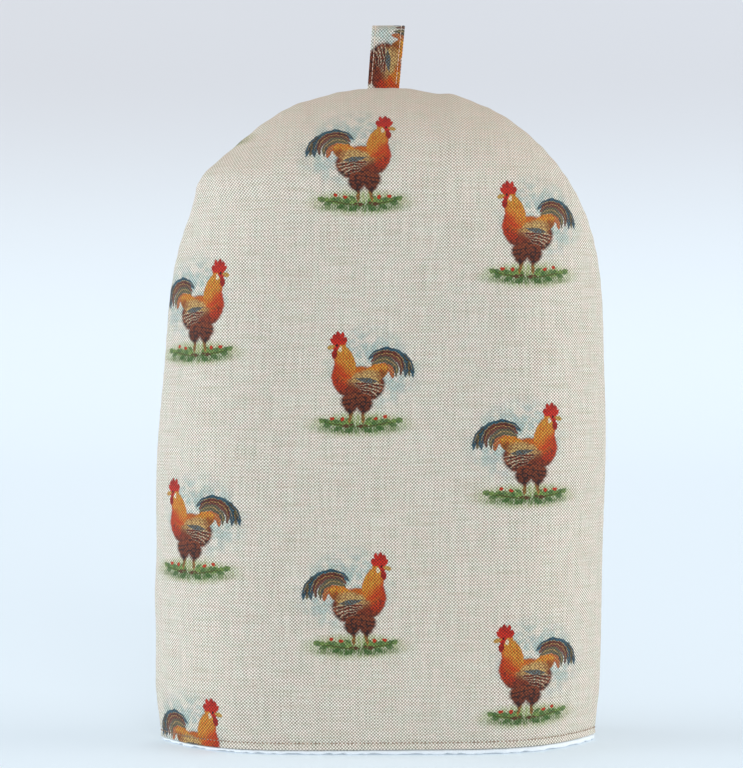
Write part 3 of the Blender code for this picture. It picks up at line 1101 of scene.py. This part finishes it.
# ---------------------------------------------------------------- studio

STUDIO_FLAT = 3.0          # radius of the level floor, before it curves up
STUDIO_BEND = 9.0          # radius of that curve
STUDIO_RISE = 48           # degrees that the curve turns
VIEW_DISTANCE = 1.0
FRAME_WIDTH = 0.4005       # width seen at the seam's plane
VIEW_SHIFT = -0.0043
VIEW_HEIGHT = 0.1915
SENSOR = 36.0
AIR_COLOUR = (0.95, 0.97, 1.0, 1)
AIR_STRENGTH = 0.68


def glowing_shaded_paper():
    """Plain pale paper, made a little greyer where it curves up by painted shade, and glowing
    faintly with painted light.
    """
    bench = Bench("glowing_shaded_paper", 0.95)
    place = bench.add("TexCoord", None, (), "Object")
    height = bench.add("SeparateXYZ", None, (place,), 2)
    # Painted shade: the wall's colour is a darker grey, so the paper darkens as it rises.
    floor, wall = paint(214, 226, 235), paint(184, 186, 192)
    bench.set("Base Color", bench.mix(floor, wall, height.ease(0.0, 1.8)))
    # Painted light: the paper glows faintly, though it is no lamp. This brightens the paper and
    # lights the cosy from below.
    bench.set("Emission Color", paint(240, 250, 255))
    bench.set("Emission Strength", 0.15)
    return bench.material


def build_studio():
    """A round pale floor that curves up into a wall all round."""
    rings, spokes = 40, 96
    profile = [(0.0, 0.0), (STUDIO_FLAT * 0.5, 0.0), (STUDIO_FLAT, 0.0)]
    for k in range(1, rings + 1):
        t = math.radians(STUDIO_RISE) * k / rings
        profile.append((STUDIO_FLAT + STUDIO_BEND * math.sin(t), STUDIO_BEND * (1 - math.cos(t))))
    angles = np.linspace(0, 2 * math.pi, spokes, endpoint=False)
    points = [(0.0, 0.0, 0.0)]
    for radius, z in profile[1:]:
        points += [(radius * math.cos(a), radius * math.sin(a), z) for a in angles]
    faces = [(0, 1 + k, 1 + (k + 1) % spokes) for k in range(spokes)]
    for ring in range(len(profile) - 2):
        low = 1 + ring * spokes
        for k in range(spokes):
            n = (k + 1) % spokes
            faces.append((low + k, low + spokes + k, low + spokes + n, low + n))
    data = bpy.data.meshes.new("studio_floor")
    data.from_pydata(points, [], faces)
    data.shade_smooth()
    floor = bpy.data.objects.new("studio_floor", data)
    bpy.context.scene.collection.objects.link(floor)
    data.materials.append(glowing_shaded_paper())
    floor.visible_shadow = False       # low lights shine in over the wall


def add_light(name, azimuth, elevation, spread, power, colour):
    """Soft light from far away: azimuth from the front towards +X, in degrees."""
    data = bpy.data.lights.new(name, "SUN")
    data.angle = math.radians(spread)
    data.energy = power
    data.color = colour
    lamp = bpy.data.objects.new(name, data)
    lamp.rotation_euler = (math.radians(90 - elevation), 0, math.radians(azimuth))
    bpy.context.scene.collection.objects.link(lamp)


def light_studio():
    """Pale air all round, and three wide soft lights from the front and both sides."""
    world = bpy.data.worlds.new("studio_air")
    world.use_nodes = True
    air = world.node_tree.nodes["Background"]
    air.inputs["Color"].default_value = AIR_COLOUR
    air.inputs["Strength"].default_value = AIR_STRENGTH
    bpy.context.scene.world = world
    add_light("front", 10, 14, 40, 1.12, (1.0, 0.965, 0.925))
    add_light("left", -86, 10, 40, 2.30, (0.93, 0.97, 1.0))
    add_light("right", 86, 10, 40, 1.75, (1.0, 0.97, 0.92))


def place_camera():
    """Camera square to the front, level with the middle of the cosy."""
    data = bpy.data.cameras.new("view")
    data.sensor_fit = "HORIZONTAL"
    data.sensor_width = SENSOR
    data.lens = SENSOR * VIEW_DISTANCE / FRAME_WIDTH
    camera = bpy.data.objects.new("view", data)
    camera.location = (VIEW_SHIFT, -VIEW_DISTANCE, VIEW_HEIGHT)
    camera.rotation_euler = (math.pi / 2, 0, 0)
    bpy.context.scene.collection.objects.link(camera)
    bpy.context.scene.camera = camera


build_cosy()
build_studio()
light_studio()
place_camera()
bpy.context.scene.view_settings.view_transform = "Standard"
